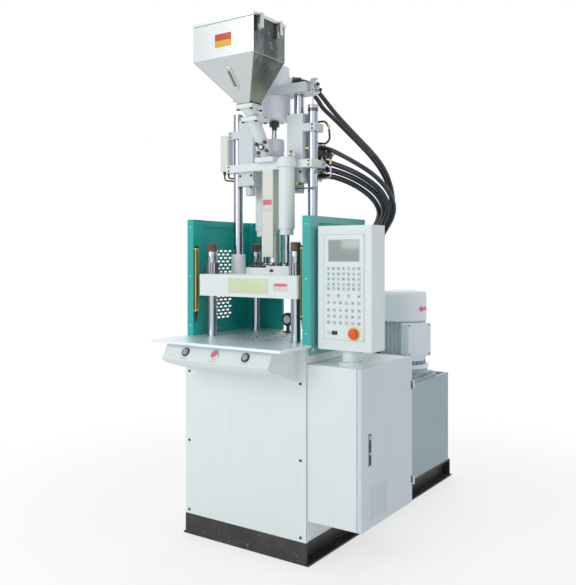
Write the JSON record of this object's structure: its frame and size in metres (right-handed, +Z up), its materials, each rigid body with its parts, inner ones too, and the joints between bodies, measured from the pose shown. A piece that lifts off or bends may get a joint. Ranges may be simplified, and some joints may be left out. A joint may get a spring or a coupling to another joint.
{
  "type": "vertical injection moulding machine",
  "caption": "Vertical injection moulding machine: a four-bar clamp over a worktable between side guards, a hopper-fed screw unit on guide columns, a swivel control panel and an oil tank behind.",
  "frame": {"origin": "centre of the skid's footprint, at floor level, between the four anchor holes", "axes": "+Z up, -Y towards the operator, +X towards the electrical cabinet"},
  "size_m": [1.009, 1.85, 2.412],
  "materials": {
    "white_paint": "satin powder coat",
    "grey_paint": "satin",
    "green_paint": "satin powder coat",
    "black_paint": "matt",
    "yellow_paint": "satin",
    "motor_grey": "satin",
    "stainless": "brushed",
    "steel": "machined",
    "dark_steel": "oiled",
    "chrome": "hard chrome",
    "button_metal": "moulded",
    "red": "moulded",
    "black_plastic": "moulded",
    "keypad": "printed film",
    "hose_rubber": "braided"
  },
  "bodies": {
    "frame": {"skid": "black_paint", "body_frame": "white_paint", "front_panel": "white_paint", "bed_plate": "steel", "clamp_cylinder": "grey_paint", "table": "stainless", "console": "white_paint", "guard_left": "green_paint", "guard_right": "green_paint", "light_curtains": "yellow_paint", "electrical_cabinet": "white_paint", "swivel_post": "white_paint", "valve_bay": "white_paint", "oil_tank": "white_paint", "drive_housing": "motor_grey", "fan_cover": "motor_grey"},
    "clamp": {"upper_platen": "white_paint", "tie_bars": "chrome", "tie_bar_nuts": "dark_steel", "crosshead": "grey_paint", "guide_columns": "chrome", "column_collars": "white_paint", "base_ring": "white_paint", "carriage_rods": "chrome"},
    "carriage": {"carriage_plate": "white_paint", "carriage_cylinders": "white_paint", "injection_cylinders": "white_paint", "cylinder_heads": "white_paint", "barrel": "steel", "heater_bands": "steel", "barrel_cover": "white_paint", "feed_housing": "white_paint", "feed_chute": "white_paint", "hopper_neck": "white_paint", "hopper": "stainless", "junction_box": "white_paint", "motor_hose_front": "hose_rubber", "motor_hose_rear": "hose_rubber", "carriage_hose_upper": "hose_rubber", "carriage_hose_a": "hose_rubber", "carriage_hose_b": "hose_rubber", "carriage_hose_c": "hose_rubber"},
    "injection": {"injection_plate": "white_paint", "bearing_housing": "white_paint", "drive_motor": "white_paint", "injection_rods": "chrome", "scale_clamp": "steel"},
    "screw": {"screw_shaft": "steel"},
    "lid": {"hopper_lid": "stainless"},
    "latch_front": {"lid_latch_front": "steel"},
    "latch_rear": {"lid_latch_rear": "steel"},
    "door": {"cabinet_door": "white_paint"},
    "latch_handle": {"door_latch": "black_plastic"},
    "panel": {"control_panel": "white_paint", "panel_face": "keypad"},
    "stop_knob": {"emergency_stop": "red"},
    "start_left": {"start_button_left": "button_metal"},
    "stop": {"stop_button": "red"},
    "start_right": {"start_button_right": "button_metal"},
    "rotor": {"motor_shaft": "steel"}
  },
  "joints": [
    {"name": "clamp_slide", "type": "slide", "parent": "frame", "child": "clamp", "axis": [0, 0, 1], "range_m": [-0.045, 0.15]},
    {"name": "carriage_slide", "type": "slide", "parent": "clamp", "child": "carriage", "axis": [0, 0, 1], "range_m": [0, 0.12]},
    {"name": "injection_slide", "type": "slide", "parent": "carriage", "child": "injection", "axis": [0, 0, 1], "range_m": [-0.035, 0.105], "deforming": ["motor_hose_front", "motor_hose_rear"]},
    {"name": "screw_spin", "type": "hinge", "parent": "injection", "child": "screw", "pos_m": [0, -0.56, 1.9], "axis": [0, 0, 1], "continuous": true},
    {"name": "lid_hinge", "type": "hinge", "parent": "carriage", "child": "lid", "pos_m": [-0.184, -0.84, 2.406], "axis": [0, -1, 0], "range_deg": [0, 100]},
    {"name": "latch_front_hinge", "type": "hinge", "parent": "lid", "child": "latch_front", "pos_m": [0.1865, -0.92, 2.402], "axis": [0, -1, 0], "range_deg": [0, 90]},
    {"name": "latch_rear_hinge", "type": "hinge", "parent": "lid", "child": "latch_rear", "pos_m": [0.1865, -0.774, 2.402], "axis": [0, -1, 0], "range_deg": [0, 90]},
    {"name": "door_hinge", "type": "hinge", "parent": "frame", "child": "door", "pos_m": [0.62, -0.302, 0.536], "axis": [0, 0, 1], "range_deg": [0, 110]},
    {"name": "door_latch_hinge", "type": "hinge", "parent": "door", "child": "latch_handle", "pos_m": [0.6135, -0.729, 0.466], "axis": [0, 1, 0], "range_deg": [0, 40]},
    {"name": "panel_swivel", "type": "hinge", "parent": "frame", "child": "panel", "pos_m": [0.508, -0.699, 0.94], "axis": [0, 0, 1], "range_deg": [-30, 60]},
    {"name": "stop_knob_push", "type": "slide", "parent": "panel", "child": "stop_knob", "axis": [0, 1, 0], "range_m": [0, 0.004]},
    {"name": "start_left_push", "type": "slide", "parent": "frame", "child": "start_left", "axis": [0, 0.866, -0.5001], "range_m": [0, 0.004], "stiffness_N_per_m": 800},
    {"name": "stop_push", "type": "slide", "parent": "frame", "child": "stop", "axis": [0, 0.866, -0.5001], "range_m": [0, 0.004], "stiffness_N_per_m": 800},
    {"name": "start_right_push", "type": "slide", "parent": "frame", "child": "start_right", "axis": [0, 0.866, -0.5001], "range_m": [0, 0.004], "stiffness_N_per_m": 800},
    {"name": "motor_spin", "type": "hinge", "parent": "frame", "child": "rotor", "pos_m": [0.19, 0.48, 0.9], "axis": [0, 0, 1], "continuous": true}
  ]
}
